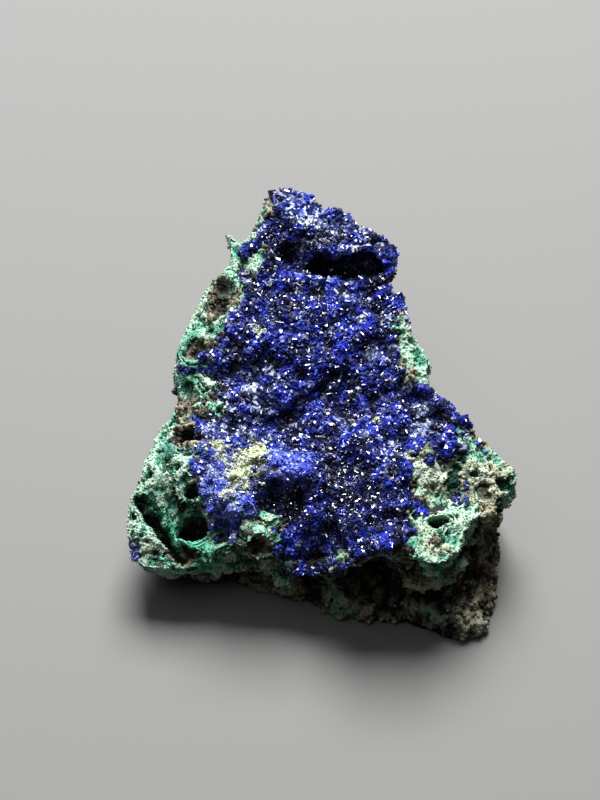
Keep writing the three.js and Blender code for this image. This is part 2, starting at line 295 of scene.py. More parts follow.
# Round knobs of powdery azurite on the left lobes: their spacing and usual size.
POWDER_KNOB = (0.6, 0.25)

# Grains scattered over the green crusts and the bare rock: their spacing and usual size. Then the number of
# their shapes, how far apart these are in the noise, and how their sizes, stretch and shades vary.
GREEN_GRAIN = (0.4, 0.12)
ROCK_GRIT = (0.75, 0.24)
GRAIN_SHAPES = 4
GRAIN_SHIFT = 3.1
GRAIN_SPREAD = (0.5, 1.3)
GRAIN_STRETCH = (0.6, 1.2)
GRAIN_DRIFT = 0.18

# Scattering: the tries for each spot, and the share of the spacing that each spot keeps to itself.
TRIES = 5
SPOT_ROOM = 0.66
SEED = 7

# ---------------- shader sums

class Amount:
    """A number that varies over a surface. Sums with it add Math nodes."""

    def __init__(self, finish, output):
        self.finish = finish
        self.output = output

    def sum(self, operation, first, second, clamp=False):
        settings = {"operation": operation, "use_clamp": clamp}
        return self.finish.node("ShaderNodeMath", settings, [first, second])

    def __add__(self, other):
        return self.sum("ADD", self, other)

    def __sub__(self, other):
        return self.sum("SUBTRACT", self, other)

    def __rsub__(self, other):
        return self.sum("SUBTRACT", other, self)

    def __mul__(self, other):
        return self.sum("MULTIPLY", self, other)

    def clamped(self):
        return self.sum("ADD", self, 0.0, clamp=True)

    __radd__ = __add__
    __rmul__ = __mul__


class Finish:
    """A material under construction: one Principled surface and the nodes that feed it."""

    def __init__(self, name):
        self.material = bpy.data.materials.new(name)
        self.material.use_nodes = True
        self.tree = self.material.node_tree
        self.surface = next(n for n in self.tree.nodes if n.type == "BSDF_PRINCIPLED")
        self.place = self.node("ShaderNodeTexCoord", {}, [], output="Object")

    def node(self, kind, settings, inputs, output=0):
        """Adds a node, sets it up, fills its sockets with values or links, and gives one of its outputs."""
        made = self.tree.nodes.new(kind)
        for key, value in settings.items():
            setattr(made, key, value)
        filled = inputs.items() if isinstance(inputs, dict) else enumerate(inputs)
        for key, value in filled:
            if isinstance(value, Amount):
                self.tree.links.new(value.output, made.inputs[key])
            else:
                made.inputs[key].default_value = value
        return Amount(self, made.outputs[output])

    def noise(self, size, detail=3.0, roughness=0.55):
        """Soft random values from 0 to 1, with blots about size millimetres across."""
        inputs = {"Vector": self.place, "Scale": 1 / (size * MM), "Detail": detail, "Roughness": roughness}
        return self.node("ShaderNodeTexNoise", {}, inputs)

    def grains(self, size):
        """Distance to scattered grains about size millimetres apart, from 0 at each grain's middle."""
        inputs = {"Vector": self.place, "Scale": 1 / (size * MM)}
        return self.node("ShaderNodeTexVoronoi", {"feature": "F1"}, inputs, output="Distance")

    def carried(self, name):
        """A number stored at each of the mesh's points."""
        return self.node("ShaderNodeAttribute", {"attribute_name": name}, [], output="Fac")

    def step(self, value, low, high):
        """0 below low and 1 above high, with a soft turn between."""
        inputs = {"Value": value, "From Min": low, "From Max": high}
        return self.node("ShaderNodeMapRange", {"interpolation_type": "SMOOTHSTEP"}, inputs)

    def blend(self, share, first, second):
        """Colour first where share is 0 and second where it is 1."""
        settings = {"data_type": "RGBA"}
        inputs = {0: share, 6: self.colour(first), 7: self.colour(second)}
        return self.node("ShaderNodeMix", settings, inputs, output=2)

    def colour(self, value):
        """A colour as a socket takes it."""
        return value if isinstance(value, Amount) else (*value, 1.0)

    def feed(self, socket, value):
        """Sets or links one of the surface's sockets."""
        if isinstance(value, Amount):
            self.tree.links.new(value.output, self.surface.inputs[socket])
        else:
            self.surface.inputs[socket].default_value = value

    def bump(self, height, reach, strength):
        """Fine relief of up to reach millimetres."""
        inputs = {"Strength": strength, "Distance": reach * MM, "Height": height}
        self.feed("Normal", self.node("ShaderNodeBump", {}, inputs))


# ---------------- finishes

NAVY = (0.002, 0.003, 0.03)
ULTRAMARINE = (0.009, 0.017, 0.175)
ELECTRIC = (0.02, 0.038, 0.40)
POWDER_BLUE = (0.21, 0.27, 0.90)
# Pale frost blue, partly a painted sheen.
FROST_SHEEN_BLUE = (0.28, 0.35, 0.54)
PALE_CREAM = (0.39, 0.43, 0.29)
# White for painted glints.
GLINT_WHITE = (0.74, 0.78, 0.82)
MINT = (0.31, 0.42, 0.33)
EMERALD = (0.07, 0.28, 0.19)
VIVID_GREEN = (0.06, 0.40, 0.26)
BOTTLE_GREEN = (0.010, 0.06, 0.036)
CHALK_GREEN = (0.42, 0.50, 0.42)
CREAM = (0.42, 0.42, 0.30)
OLIVE = (0.20, 0.20, 0.115)
EARTH = (0.11, 0.096, 0.064)
# Near black, for painted shade in hollows, pits and under the crusts.
SHADE_BLACK = (0.005, 0.0045, 0.004)
SAND = (0.30, 0.29, 0.21)
RUST = (0.27, 0.115, 0.045)
FLOOR_GREY = (0.165, 0.165, 0.162)
FLOOR_PALE = (0.175, 0.175, 0.172)
CRYSTAL_IOR = 1.78
BED_IOR = 1.6


def azurite_finish():
    """Glassy dark blue: each crystal has its own depth of blue, partly painted shade, and its own pale
    frosting, partly painted sheen, with painted white glints.
    """
    finish = Finish("azurite crystals")
    dust = finish.carried("dust")
    mottle = finish.noise(0.35)
    depth = finish.step(finish.carried("tint") + mottle * 0.4, 0.2, 1.3)
    blue = finish.blend(finish.step(depth, 0.0, 0.55), NAVY, ULTRAMARINE)
    blue = finish.blend(finish.step(depth, 0.55, 1.0), blue, ELECTRIC)
    blue = finish.blend(finish.carried("powder") * 0.85, blue, POWDER_BLUE)
    # Pale frost with painted sheen, and painted white glints where it is strongest.
    frost_sheen_share = finish.step(dust + (mottle - 0.5) * 0.6, 0.5, 1.2)
    blue = finish.blend(0.03 + 0.75 * frost_sheen_share, blue, FROST_SHEEN_BLUE)
    blue = finish.blend(finish.step(dust, 1.25, 1.5), blue, GLINT_WHITE)
    blue = finish.blend(finish.step(finish.carried("cream"), 0.4, 0.55), blue, PALE_CREAM)
    finish.feed("Base Color", blue)
    finish.feed("Roughness", 0.15 + 0.3 * dust.clamped() + 0.14 * mottle)
    finish.feed("IOR", CRYSTAL_IOR)
    finish.bump(finish.noise(0.09, 2.0), 0.012, 0.5)
    return finish.material


def bed_finish():
    """The grown-together blue mass between the crystals, powdery on its mounds."""
    finish = Finish("azurite bed")
    rise = finish.carried("rise")
    powder = finish.carried("powder")
    dust = finish.carried("dust")
    speck = finish.grains(0.22)
    # Painted light and shade: navy low in the gaps, ultramarine on the heights.
    shade = finish.step(rise + 0.5 * finish.noise(0.4), 0.35, 1.2)
    blue = finish.blend(shade, NAVY, ULTRAMARINE)
    dusting = finish.blend(finish.step(speck, 0.2, 0.6), POWDER_BLUE, ELECTRIC)
    blue = finish.blend((powder * (0.4 + rise)).clamped(), blue, dusting)
    # Pale frost with painted sheen.
    frost_sheen_share = finish.step(dust + (finish.noise(0.2, 3.0) - 0.5) * 1.2, 0.3, 1.0)
    blue = finish.blend(0.6 * frost_sheen_share, blue, FROST_SHEEN_BLUE)
    creamy = finish.step(finish.carried("cream") + (finish.noise(0.45, 4.0) - 0.5) * 1.2, 0.4, 0.6)
    blue = finish.blend(creamy, blue, PALE_CREAM)
    # Painted shade in hollows.
    blue = finish.blend(finish.carried("recess_shade"), blue, SHADE_BLACK)
    finish.feed("Base Color", blue)
    finish.feed("Roughness", 0.32 + 0.4 * powder)
    finish.feed("IOR", BED_IOR)
    finish.bump(finish.noise(0.2, 4.0, 0.7), 0.08, 0.9)
    return finish.material


def malachite_finish():
    """Earthy green with cream and brown grains. Light and shade are painted by height: mint on the heights,
    emerald lower, dark in the pits.
    """
    finish = Finish("malachite crust")
    rise = finish.carried("rise")
    mottle = finish.noise(0.9, 5.0, 0.65)
    fine = finish.noise(0.22, 4.0, 0.7)
    height = rise + (mottle - 0.5) * 0.7 + (fine - 0.5) * 0.35
    # Painted light and shade by height: bottle green low, emerald, then mint on the heights.
    green = finish.blend(finish.step(height, 0.1, 0.36), BOTTLE_GREEN, EMERALD)
    green = finish.blend(finish.carried("vivid") * finish.step(height, 0.2, 0.5), green, VIVID_GREEN)
    green = finish.blend(finish.step(height, 0.32, 0.68), green, MINT)
    green = finish.blend(finish.carried("vivid") * 0.75, green, VIVID_GREEN)
    grains = finish.grains(0.3)
    sandy = finish.step(finish.carried("cream") + (mottle - 0.5) * 0.9, 0.35, 0.75)
    cream = finish.blend(finish.step(finish.noise(0.5, 4.0), 0.36, 0.58), OLIVE, CREAM)
    green = finish.blend(sandy * finish.step(height, 0.15, 0.5), green, cream)
    speckle = finish.step(finish.noise(0.16, 2.0), 0.6, 0.7) * finish.step(height, 0.3, 0.6)
    chalk = finish.step(finish.carried("chalk") + (fine - 0.5) * 0.9, 0.3, 0.8)
    chalk = chalk * finish.step(height, 0.1, 0.45)
    pale = (0.6 * speckle + 0.85 * chalk).clamped() * (1 - 0.8 * finish.carried("vivid"))
    green = finish.blend(pale, green, CHALK_GREEN)
    brown = finish.step(finish.carried("earth") + (finish.noise(0.7, 4.0) - 0.5) * 0.9, 0.35, 0.7)
    green = finish.blend(brown, green, EARTH)
    rust = finish.step(finish.carried("rust") + (fine - 0.5) * 0.8, 0.45, 0.8)
    green = finish.blend(rust, green, RUST)
    blue = finish.step(finish.carried("blue") + (finish.noise(0.45, 4.0) - 0.5) * 1.4, 0.4, 0.62)
    green = finish.blend(blue, green, ULTRAMARINE)
    # Painted shade in hollows.
    green = finish.blend(finish.carried("recess_shade"), green, SHADE_BLACK)
    finish.feed("Base Color", green)
    finish.feed("Roughness", 0.62 + 0.3 * mottle)
    finish.bump(fine + 0.5 * finish.step(grains, 0.0, 0.6), 0.09, 0.8)
    return finish.material


def rock_finish():
    """Brown iron-stained rock with rusty and green stains: painted light, sandy, where it is high and
    painted shade in its pits.
    """
    finish = Finish("brown rock")
    rise = finish.carried("rise")
    mottle = finish.noise(1.3, 6.0, 0.65)
    fine = finish.noise(0.25, 5.0, 0.7)
    height = rise + (mottle - 0.5) * 0.9 + (fine - 0.5) * 0.5
    # Painted light and shade by height: near black in the pits, brown, then sand on the heights.
    brown = finish.blend(finish.step(height, 0.15, 0.5), SHADE_BLACK, EARTH)
    brown = finish.blend(finish.step(height, 0.48, 0.85), brown, SAND)
    rust = finish.step(finish.carried("rust") + (finish.noise(0.8, 4.0) - 0.5) * 0.9, 0.42, 0.75)
    brown = finish.blend(rust, brown, RUST)
    green = finish.step(finish.carried("stain") + (finish.noise(1.1, 5.0) - 0.5) * 1.2, 0.45, 0.75)
    brown = finish.blend(green * 0.55 * finish.step(height, 0.3, 0.7), brown, EMERALD)
    # Painted shade in hollows.
    brown = finish.blend(finish.carried("recess_shade"), brown, SHADE_BLACK)
    finish.feed("Base Color", brown)
    finish.feed("Roughness", 0.72 + 0.2 * mottle)
    finish.bump(fine + finish.noise(0.09, 3.0) * 0.4, 0.12, 0.9)
    return finish.material


def floor_finish():
    """Plain pale grey, barely mottled."""
    finish = Finish("pale floor")
    finish.feed("Base Color", finish.blend(finish.noise(300.0, 2.0), FLOOR_GREY, FLOOR_PALE))
    finish.feed("Roughness", 0.9)
    return finish.material


# ---------------- random relief

def lumps(points, size, octaves=3, shift=0.0):
    """Soft random heights from about -1 to 1 at these points, with bumps about size millimetres across."""
    spots = (points / size + shift).tolist()
    return np.array([noise.fractal(spot, 1.0, 2.0, octaves) for spot in spots]) * 1.6


def cells(points, size, shift=0.0):
    """Distance from each point to the nearest and the next of scattered centres, in cell sizes."""
    spots = (points / size + shift).tolist()
    found = np.array([noise.voronoi(spot)[0][:2] for spot in spots])
    return found[:, 0], found[:, 1]


def ramp(values, low, high):
    """0 below low and 1 above high, with a soft turn between."""
    share = np.clip((values - low) / (high - low), 0.0, 1.0)
    return share * share * (3 - 2 * share)


def patch(points, x, y, radius):
    """1 at (x, y) seen from above, falling to 0 at about twice the radius."""
    return np.exp(-((points[:, 0] - x) ** 2 + (points[:, 1] - y) ** 2) / radius**2)


def patches(points, places):
    """The sum of these named patches."""
    return sum(amount * patch(points, x, y, radius) for _, x, y, radius, amount in places)


# ---------------- meshes and arrays

def triples(items, key):
    """Each item's three numbers under this key, as rows."""
    found = np.empty(len(items) * 3)
    items.foreach_get(key, found)
    return found.reshape(-1, 3)


def quads_of(mesh):
    """The point numbers of each face, on a mesh of quads only."""
    found = np.empty(len(mesh.loops), np.int32)
    mesh.loops.foreach_get("vertex_index", found)
    return found.reshape(-1, 4)


def added(name, data):
    """A new object in the scene."""
    made = bpy.data.objects.new(name, data)
    bpy.context.scene.collection.objects.link(made)
    return made


def frame_copy(shape, name, swell):
    """Adds a copy of a CAD node to a bmesh, in millimetres, its doubles merged, and swollen."""
    part = bmesh.new()
    part.from_mesh(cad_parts[name].data)
    bmesh.ops.remove_doubles(part, verts=part.verts, dist=DOUBLES)
    bmesh.ops.scale(part, vec=(1 / MM, 1 / MM, 1 / MM), verts=part.verts)
    part.normal_update()
    moved = [vert.co + vert.normal * swell for vert in part.verts]
    for vert, place in zip(part.verts, moved):
        vert.co = place
    mesh = bpy.data.meshes.new("copy")
    part.to_mesh(mesh)
    part.free()
    shape.from_mesh(mesh)
    bpy.data.meshes.remove(mesh)


def add_ball(shape, x, y, z, half_x, half_y, half_z, turn=0, lean=0):
    """Adds a stretched ball to a bmesh and gives its vertices."""
    place = Matrix.Translation((x, y, z)) @ Matrix.Rotation(math.radians(turn), 4, "Z")
    place = place @ Matrix.Rotation(math.radians(lean), 4, "X")
    stretch = Matrix.Diagonal((half_x, half_y, half_z, 1.0))
    return bmesh.ops.create_icosphere(shape, subdivisions=3, radius=1.0, matrix=place @ stretch)["verts"]


def worked(shape, *steps):
    """The mesh that a bmesh or a mesh becomes under these modifiers."""
    mesh = shape
    if isinstance(shape, bmesh.types.BMesh):
        mesh = bpy.data.meshes.new("draft")
        shape.to_mesh(mesh)
        shape.free()
    draft = added("draft", mesh)
    for kind, settings in steps:
        modifier = draft.modifiers.new(kind, kind)
        for key, value in settings.items():
            setattr(modifier, key, value)
    graph = bpy.context.evaluated_depsgraph_get()
    made = bpy.data.meshes.new_from_object(draft.evaluated_get(graph))
    bpy.data.objects.remove(draft)
    return made


def remesh(voxel):
    """The step that closes a shape as one skin."""
    return ("REMESH", {"mode": "VOXEL", "voxel_size": voxel})


def smoothing(times):
    """The step that rounds a skin."""
    return ("SMOOTH", {"factor": 0.5, "iterations": times})


def tree_of(mesh):
    """A mesh made ready for finding its nearest point."""
    places = [vert.co for vert in mesh.vertices]
    return BVHTree.FromPolygons(places, [tuple(face.vertices) for face in mesh.polygons])


def node_tree(name):
    """A CAD node made ready in the same way."""
    shape = bmesh.new()
    frame_copy(shape, name, 0.0)
    tree = BVHTree.FromBMesh(shape)
    shape.free()
    return tree


# ---------------- the lump

def add_ragged_ball(shape, x, y, z, half_x, half_y, half_z, turn=0, lean=0):
    """Adds a ball with an uneven surface, for a natural hollow."""
    reach = RAGGED_SHARE * min(half_x, half_y)
    for vert in add_ball(shape, x, y, z, half_x, half_y, half_z, turn, lean):
        vert.co += noise.noise_vector(vert.co / RAGGED_SIZE) * reach


def add_cup(shape, ground, x, y, half_x, half_y, depth, turn):
    """Adds the ball that cuts a cup of this depth where the ground lies under (x, y)."""
    top = ground.ray_cast(Vector((x, y, SKY)), Vector((0, 0, -1)))[0]
    half_z = depth * CUP_TALLNESS
    add_ragged_ball(shape, x, y, top.z - depth + half_z, half_x, half_y, half_z, turn)


def stone_lump():
    """The whole stone as one closed mesh, swollen by SWELL: before and after its hollows are cut."""
    noise.seed_set(RAGGED_SEED)
    shape = bmesh.new()
    for name in NODES:
        frame_copy(shape, name, SWELL)
    for _, *ball in KNOBS:
        add_ball(shape, *ball)
    whole = worked(shape, remesh(DRAFT_VOXEL), smoothing(DRAFT_SMOOTHING))
    ground = tree_of(whole)
    tools = bmesh.new()
    for _, *hollow in CUPS:
        add_cup(tools, ground, *hollow)
    for ball in [place for _, *place in OVERHANGS] + list(CHIPS):
        add_ragged_ball(tools, *ball)
    cutter = added("cutter", worked(tools, remesh(DRAFT_VOXEL / 2)))
    cutting = ("BOOLEAN", {"operation": "DIFFERENCE", "object": cutter, "solver": "MANIFOLD"})
    cut = worked(whole.copy(), cutting)
    bpy.data.objects.remove(cutter)
    return whole, cut


trees = {name: node_tree(name) for name in NODES}


def distance(points, tree):
    """How far each point is from a surface."""
    return np.array([tree.find_nearest(point)[3] for point in points.tolist()])


def spot_reach(points, spots):
    """How far inside the nearest of these round patches each point is. They end above the stone's foot."""
    reach = [radius - np.hypot(points[:, 0] - x, points[:, 1] - y) for x, y, radius in spots]
    return np.max(reach, axis=0) - np.maximum(SPOT_FLOOR - points[:, 2], 0)


def growths(points, buried):
    """How far inside each growth's outline every point is, in millimetres. Below 0 is outside."""
    far = {name: distance(points, trees[name]) for name in NODES}
    ragged = lumps(points, 1.7, 4) * 0.6
    torn = lumps(points, 2.1, 4, shift=31.0) * 0.6
    blue = spot_reach(points, BLUE_SPOTS) + ragged
    green = spot_reach(points, GREEN_SPOTS) - ragged
    bare = spot_reach(points, BARE_SPOTS) + torn * 1.2
    bare = np.where(points[:, 1] < CAVE_FRONT, np.maximum(bare, buried * 2 - 0.6 + torn), bare)
    nearest_green = np.min([far[name] for name in GREENS], axis=0)
    inside = {DRUSE: np.minimum(nearest_green, far[ROCK] + BLUE_OVER_ROCK) - far[DRUSE] + ragged}
    inside[DRUSE] = np.minimum(np.maximum(inside[DRUSE], blue), -np.maximum(green, bare))
    for name in GREENS:
        others = np.min([far[other] for other in GREENS if other != name], axis=0)
        own = np.minimum(np.minimum(others, far[DRUSE]), far[ROCK] + GREEN_OVER_ROCK) - far[name]
        edge = np.where(far[DRUSE] < far[ROCK], -ragged, torn)
        inside[name] = np.minimum(own + edge, -bare)
        if name == GREEN_RIGHT:
            inside[name] = np.minimum(inside[name], points[:, 2] - RIGHT_CRUST_FOOT + torn)
        near = far[name] <= others
        inside[name] = np.where(near, np.maximum(inside[name], np.minimum(green, -bare)), inside[name])
        inside[name] = np.minimum(inside[name], -blue)
    return inside


# ---------------- making pieces

def make_piece(name, points, faces, finish, attributes, smooth=True):
    """A shown piece in metres that rides with the stone."""
    mesh = bpy.data.meshes.new(name)
    mesh.from_pydata((points * MM).tolist(), [], faces.tolist())
    for key, values in attributes.items():
        mesh.attributes.new(key, "FLOAT", "POINT").data.foreach_set("value", values.astype(np.float32))
    mesh.materials.append(finish)
    mesh.polygons.foreach_set("use_smooth", [smooth] * len(mesh.polygons))
    piece = added(name, mesh)
    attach(piece, "root")
    return piece


def open_edges(faces):
    """The edges that only one face has, each as two points in that face's order."""
    count = faces.max() + 1
    edges = np.stack([faces.ravel(), np.roll(faces, -1, axis=1).ravel()], 1).astype(np.int64)
    forward = edges[:, 0] * count + edges[:, 1]
    backward = edges[:, 1] * count + edges[:, 0]
    return edges[~np.isin(forward, backward)]


def without_pinches(faces):
    """Drops faces until no corner is shared by two faces that don't meet along an edge there."""
    while True:
        pinched = np.bincount(open_edges(faces)[:, 0], minlength=faces.max() + 1) > 1
        keep = ~pinched[faces].any(1)
        if keep.all():
            return faces
        faces = faces[keep]


def large_stretches(faces, least):
    """The faces that lie in joined stretches of at least this many faces."""
    label = np.arange(faces.max() + 1)
    while True:
        lowest = label[faces].min(1)
        fresh = label.copy()
        np.minimum.at(fresh, faces.ravel(), np.repeat(lowest, faces.shape[1]))
        fresh = fresh[fresh]
        if (fresh == label).all():
            break
        label = fresh
    stretch = label[faces[:, 0]]
    return faces[np.bincount(stretch)[stretch] >= least]


def compact(faces, *arrays):
    """Faces renumbered for only the points they use, and the arrays cut down to those points."""
    used, renumbered = np.unique(faces, return_inverse=True)
    return renumbered.reshape(faces.shape), *(array[used] for array in arrays)


def shell(points, normals, faces, thickness):
    """Closes a sheet: the sheet, its inner side and a rim between them."""
    count = len(points)
    inner = points - normals * thickness[:, None]
    rim = open_edges(faces)
    walls = np.stack([rim[:, 1], rim[:, 0], rim[:, 0] + count, rim[:, 1] + count], 1)
    return np.concatenate([points, inner]), np.concatenate([faces, faces[:, ::-1] + count, walls])


def depth_below(points, normals, tree):
    """How thick the stone is under each point, up to THICKEST."""
    found = []
    for point, normal in zip(points, normals):
        hit = tree.ray_cast(Vector(point - normal * STEP_IN), Vector(-normal), THICKEST)[3]
        found.append(THICKEST if hit is None else hit)
    return np.array(found)


class Skin:
    """The stone's surface at one fineness, with what is known at each of its points."""

    def __init__(self, ground, lump, voxel):
        mesh = worked(lump.copy(), remesh(voxel), smoothing(FINAL_SMOOTHING))
        self.points = triples(mesh.vertices, "co")
        self.normals = triples(mesh.vertex_normals, "vector")
        self.faces = quads_of(mesh)
        self.thickness = depth_below(self.points, self.normals, tree_of(mesh))
        self.buried = distance(self.points, ground)
        self.inside = growths(self.points, self.buried)


class Sheet:
    """The outer side of a growth: its points, quads, the way it faces, and the numbers its points carry."""

    def __init__(self, points, faces, carried):
        self.points = points
        self.faces = faces
        self.carried = carried
        corners = points[faces]
        flat = np.cross(corners[:, 2] - corners[:, 0], corners[:, 3] - corners[:, 1])
        normals = np.zeros_like(points)
        np.add.at(normals, faces.ravel(), np.repeat(flat, 4, axis=0))
        self.normals = normals / (np.linalg.norm(normals, axis=1, keepdims=True) + 1e-12)


def evenness(buried):
    """The share of its relief that the stone keeps, which is less on the walls of a hollow."""
    return 1 - 0.75 * ramp(buried, 0.05, 0.5)


def recess_shading(buried):
    """How dark the stone is painted as shade, by how far down in a hollow it lies."""
    return 0.95 * ramp(buried, 0.6, 1.7)


def below_peak(heights):
    """Heights pressed down softly where they come near the top of the model's box."""
    over = np.maximum(heights - (cad_box[1][2] / MM - PEAK_ROOM), 0)
    return heights - PEAK_SOFTENING * over


def sheet_piece(name, skin, relief, finish, node, extras):
    """A crust: the part of the stone's skin inside an outline, raised by its relief and closed below."""
    inside = skin.inside[node]
    kept = skin.faces[(inside[skin.faces] > -EDGE_REACH).all(1)]
    kept = without_pinches(large_stretches(kept, LEAST_STRETCH))
    arrays = (skin.points, skin.normals, inside, skin.thickness, skin.buried)
    kept, spots, turned, within, thick, buried = compact(kept, *arrays)
    height, rise = relief(spots, turned)
    sink = 1.0 - ramp(within, -0.5, 0.45)
    lift = np.maximum((height - SWELL - EDGE_SINK * sink) * evenness(buried), -CRUST_PIT_SHARE * thick)
    placed = spots + turned * lift[:, None]
    placed[:, 2] = below_peak(np.maximum(placed[:, 2], CRUST_LOWEST))
    closed, walls = shell(placed, turned, kept, np.minimum(CRUST_THICKNESS, CRUST_SHARE * thick))
    # Painted shade: the crust is painted darker where it sinks at its edges and down in hollows.
    rise = np.clip(rise * (1 - 0.5 * sink) - 0.3 * ramp(buried, 0.2, 1.0), 0, 1)
    carried = {"rise": rise, "within": within, "recess_shade": recess_shading(buried)}
    carried.update(extras(spots, within))
    shown = {key: np.concatenate([values, values]) for key, values in carried.items() if key != "within"}
    piece = make_piece(name, closed, walls, finish, shown)
    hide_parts(node)
    return Sheet(placed, kept, carried)


# ---------------- relief of each growth

def druse_relief(points, _facing):
    """Rounded clusters of crystals with gaps between, sunk so that the crystals stand in the frame."""
    near, _ = cells(points + lumps(points, 1.6)[:, None] * 0.5, 1.25)
    cluster = 1.0 - np.clip(near * 1.4, 0, 1) ** 2
    swell = lumps(points, 3.4, 3)
    gap = ramp(lumps(points, 1.9, 4, shift=71.0), 0.25, 0.6)
    # rise is how light the blue is painted: painted light on the clusters and painted shade in the gaps.
    rise = 0.45 * cluster + 0.6 * swell - 0.7 * gap + 0.4
    return 0.6 * cluster + 0.75 * swell - 0.7 * gap - 0.6, np.clip(rise, 0, 1)


def green_relief(points, facing):
    """Small knobs and low wandering ridges, with pits down to the rock."""
    knobs, _ = cells(points, 0.6)
    bumps = 1.0 - np.clip(knobs * 1.5, 0, 1) ** 2
    ridge = 1.0 - np.abs(lumps(points, 2.4, 3, shift=5.0)) * 2.2
    pit = ramp(lumps(points, 1.5, 3, shift=11.0) + patches(points, POROUS), 0.42, 0.7)
    swell = lumps(points, 3.2, 2, shift=3.0)
    grit = lumps(points, 0.35, 2, shift=9.0)
    wall = ramp(1 - np.abs(facing[:, 2]), 0.3, 0.8)
    front = ramp(-points[:, 1], *WALL_FORWARD) * ramp(points[:, 0], *WALL_RIGHTWARD)
    crag = lumps(points, 1.6, 3, shift=90.0) * wall * front
    height = 0.1 * bumps + 0.15 * ridge + 0.22 * swell + 0.1 * grit - 0.8 * pit + 0.6 * crag - 0.25
    # rise is how light the green is painted: painted light on knobs and ridges and painted shade in pits.
    rise = 0.5 + 0.12 * bumps + 0.22 * ridge + 0.1 * swell + 0.1 * grit - 0.8 * pit + 0.5 * crag
    # Painted shade: the steep front wall is painted darker.
    rise -= 0.12 * wall * front
    return height, np.clip(rise, 0, 1)


def rock_relief(points):
    """Craggy broken rock; its foot and underside stay flat."""
    crag = lumps(points, 2.4, 4, shift=17.0)
    near, following = cells(points, 1.6, shift=2.0)
    chips = np.clip(following - near, 0, 0.5)
    grit, _ = cells(points, 0.55, shift=8.0)
    streak = lumps(points * (1.0, 1.0, 0.25), 0.9, 3, shift=23.0)
    height = 0.45 * crag + 0.55 * chips + 0.22 * (1 - np.clip(grit * 1.4, 0, 1) ** 2) + 0.16 * streak - 0.3
    # rise is how light the rock is painted: painted light on crags and chips, painted shade lower.
    rise = 0.35 + 0.45 * crag + 0.5 * chips + 0.2 * streak
    return height, np.clip(rise, 0, 1)


def make_rock(skin, finish):
    """The brown rock under and between the crusts, with its flat broken back."""
    points = skin.points
    covered = ramp(np.max(list(skin.inside.values()), axis=0), -0.1, 0.5)
    height, rise = rock_relief(points)
    lift = height * (1 - 0.8 * covered) - ROCK_BELOW_CRUST * covered - SWELL
    lift = np.maximum(lift * evenness(skin.buried), -ROCK_PIT_SHARE * skin.thickness)
    placed = points + skin.normals * lift[:, None]
    placed[:, 2] = points[:, 2] + (placed[:, 2] - points[:, 2]) * ramp(points[:, 2], *ROCK_FOOT)
    placed[:, 2] = below_peak(np.where(points[:, 2] < FLAT_BACK, 0.0, np.maximum(placed[:, 2], 0.0)))
    # Painted shade: rock in hollows and rock hidden under the crusts is painted near black, so that gaps
    # read as shadow.
    dark = np.maximum(recess_shading(skin.buried), 0.95 * ramp(covered, 0.4, 0.9))
    carried = {"rise": rise, "within": 1 - covered, "recess_shade": dark}
    carried.update(rock_extras(points))
    shown = {key: values for key, values in carried.items() if key != "within"}
    piece = make_piece("rock", placed, skin.faces, finish, shown)
    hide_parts(ROCK)
    return Sheet(placed, skin.faces, carried)


def rock_extras(points):
    """Where the rock is rusty and where it is stained green."""
    stain = 0.45 + 0.5 * lumps(points, 5.0, 2, shift=40.0) - 0.3 * ramp(points[:, 1], -14, 5)
    return {"rust": patches(points, RUSTY_ROCK), "stain": stain}


def green_extras(points, within):
    """Where the green crusts change colour. They are bluer along their edges."""
    return {
        "cream": patches(points, CREAM_GREEN),
        "earth": patches(points, EARTHY),
        "rust": patches(points, RUSTY),
        "blue": ramp(-within, -0.9, 0.2) * 0.35 + patches(points, FLECKED),
        "chalk": patches(points, CHALKY),
        "vivid": np.clip(patches(points, VIVID), 0, 1),
    }


def druse_extras(points, _within):
    """Where the azurite is powdery, turned to cream, frosted pale with painted sheen and glints, or painted
    darker as shade.
    """
    frost_sheen_sum = patches(points, FROST_SHEEN) + 0.85 * lumps(points, 0.9, 3, shift=60.0) - 0.02
    cream = patches(points, CREAMY)
    cream = cream + 0.3 * lumps(points, 0.9, 2, shift=80.0) * (cream > 0.1)
    powder = np.clip(patches(points, POWDERY), 0, 1)
    return {"powder": powder, "dust": np.clip(frost_sheen_sum, 0, 2), "cream": cream, "shade": patches(points, SHADY)}


# ---------------- crystals and grains

def template(shape):
    """A bmesh as arrays of points and of triangles, sorted as a bevel leaves them in no fixed order."""
    bmesh.ops.triangulate(shape, faces=shape.faces)
    shape.verts.index_update()
    points = np.array([vert.co[:] for vert in shape.verts])
    faces = np.array(sorted([vert.index for vert in face.verts] for face in shape.faces))
    shape.free()
    return points, faces


def crystal(width, thickness, crest, slant, edge=0.0):
    """A wedge-topped azurite blade one unit tall, on a foot that goes into the bed."""
    shape = bmesh.new()
    bmesh.ops.create_cube(shape, size=1.0)
    bmesh.ops.translate(shape, vec=(0, 0, 0.5), verts=shape.verts)
    bmesh.ops.scale(shape, vec=(width, thickness, 1.0), verts=shape.verts)
    if edge:
        uprights = [e for e in shape.edges if abs(e.verts[0].co.z - e.verts[1].co.z) > 0.5]
        cut = {"affect": "EDGES", "segments": 1, "profile": 0.5, "material": -1}
        bmesh.ops.bevel(shape, geom=uprights, offset=edge, **cut)
    top = [vert for vert in shape.verts if vert.co.z > 0.9]
    for vert in top:
        vert.co.z += slant * vert.co.x / width - WEDGE_SLOPE * abs(vert.co.y) / thickness
    bmesh.ops.scale(shape, vec=(crest, crest, 1.0), verts=top)
    bmesh.ops.translate(shape, vec=(0, 0, -CRYSTAL_FOOT), verts=shape.verts)
    return template(shape)


